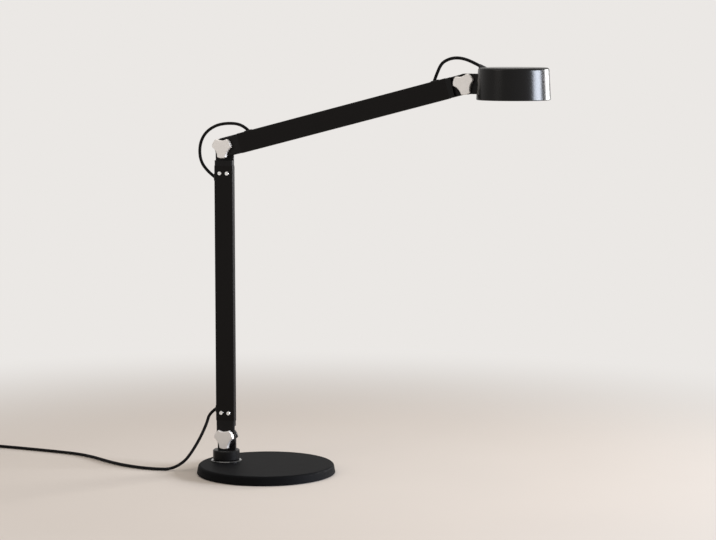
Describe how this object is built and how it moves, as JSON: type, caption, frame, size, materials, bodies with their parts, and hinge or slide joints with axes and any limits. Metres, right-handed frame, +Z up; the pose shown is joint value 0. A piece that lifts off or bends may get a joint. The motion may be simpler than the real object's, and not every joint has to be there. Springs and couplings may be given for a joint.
{
  "type": "adjustable desk lamp",
  "caption": "Black desk lamp with a round weighted base, a swivelling foot, two flat arms clamped by three-lobed hand knobs, a shallow drum light head and a textile cord looped past each joint",
  "frame": {"origin": "Centre of the round base on the surface that the lamp stands on", "axes": "+X points from the post towards the light head, +Y points away from the side with the hand knobs, +Z is up; arms as in the picture"},
  "size_m": [0.8718, 0.202, 0.5413],
  "materials": {
    "black_textured_enamel": "fine matte black powder coat over cast iron",
    "black_satin_enamel": "satin black paint over aluminium tube and zinc castings",
    "satin_silver": "bead-blasted aluminium",
    "steel": "bright zinc-plated steel",
    "polished_black": "glossy black lacquer",
    "black_plastic": "moulded black polymer",
    "black_rubber": "soft black rubber",
    "black_felt": "pressed wool felt",
    "black_textile": "braided black textile sleeve",
    "friction_fibre": "fibre friction sheet",
    "opal": "opal polymer sheet, satin",
    "white_reflector": "white moulded polymer",
    "board": "white-masked circuit board",
    "phosphor": "yellow phosphor over light chips",
    "bare_aluminium": "bare cast aluminium"
  },
  "bodies": {
    "base": {"base_plate": "black_textured_enamel", "base_pad": "black_felt", "swivel_ring": "polished_black", "stop_pin": "steel", "cord_table_run": "black_textile", "cord_coil": "black_textile", "adapter_relief": "black_rubber", "adapter_body": "black_plastic", "adapter_pins": "steel"},
    "foot": {"swivel_foot": "black_satin_enamel", "swivel_bolt": "steel", "swivel_washer": "steel", "foot_friction_disc": "friction_fibre", "foot_pivot_bolt": "steel", "foot_rear_cap": "black_satin_enamel", "cord_drop_lower": "black_textile"},
    "lower_arm": {"lower_tube": "black_satin_enamel", "lower_near_fitting": "black_satin_enamel", "lower_far_fitting": "black_satin_enamel", "lower_fitting_screws": "steel", "lower_cord_bushes": "black_rubber", "lower_arm_cord": "black_textile", "cord_drop_upper": "black_textile", "elbow_friction_disc": "friction_fibre", "elbow_pivot_bolt": "steel", "elbow_rear_cap": "black_satin_enamel"},
    "upper_arm": {"upper_tube": "black_satin_enamel", "upper_near_fitting": "black_satin_enamel", "upper_far_fitting": "black_satin_enamel", "upper_fitting_screws": "steel", "upper_cord_bushes": "black_rubber", "upper_arm_cord": "black_textile", "elbow_loop": "black_textile", "head_friction_disc": "friction_fibre", "head_pivot_bolt": "steel", "head_rear_cap": "black_satin_enamel"},
    "head": {"head_bracket": "black_satin_enamel", "bracket_screws": "steel", "head_shell": "black_satin_enamel", "heat_spreader": "bare_aluminium", "light_board": "board", "light_chips": "phosphor", "reflector": "white_reflector", "diffuser": "opal", "trim_ring": "black_plastic", "driver_board": "board", "head_gland": "black_rubber", "head_cord": "black_textile", "head_loop": "black_textile"},
    "foot_clamp": {"foot_knob": "satin_silver", "foot_knob_washer": "steel"},
    "elbow_clamp": {"elbow_knob": "satin_silver", "elbow_knob_washer": "steel"},
    "head_clamp": {"head_knob": "satin_silver", "head_knob_washer": "steel"}
  },
  "joints": [
    {"name": "base_swivel", "type": "hinge", "parent": "base", "child": "foot", "pos_m": [-0.057, 0, 0.0138], "axis": [0, 0, 1], "range_deg": [-45, 45], "deforming": ["cord_drop_lower"]},
    {"name": "foot_tilt", "type": "hinge", "parent": "foot", "child": "lower_arm", "pos_m": [-0.057, 0, 0.042], "axis": [0, 1, 0], "range_deg": [-40, 55], "deforming": ["cord_drop_upper"]},
    {"name": "elbow_tilt", "type": "hinge", "parent": "lower_arm", "child": "upper_arm", "pos_m": [-0.057, 0, 0.4224], "axis": [0, 1, 0], "range_deg": [-75.5, 24], "deforming": ["elbow_loop"]},
    {"name": "head_tilt", "type": "hinge", "parent": "upper_arm", "child": "head", "pos_m": [0.27217, 0, 0.50753], "axis": [0, 1, 0], "range_deg": [-70, 70], "deforming": ["head_loop"]},
    {"name": "foot_clamp_turn", "type": "hinge", "parent": "foot", "child": "foot_clamp", "pos_m": [-0.057, -0.0072, 0.042], "axis": [0, -1, 0], "range_deg": [-15, 180]},
    {"name": "elbow_clamp_turn", "type": "hinge", "parent": "lower_arm", "child": "elbow_clamp", "pos_m": [-0.057, -0.0072, 0.4224], "axis": [0, -1, 0], "range_deg": [-15, 180]},
    {"name": "head_clamp_turn", "type": "hinge", "parent": "upper_arm", "child": "head_clamp", "pos_m": [0.27217, -0.0072, 0.50753], "axis": [0, -1, 0], "range_deg": [-15, 180]}
  ]
}
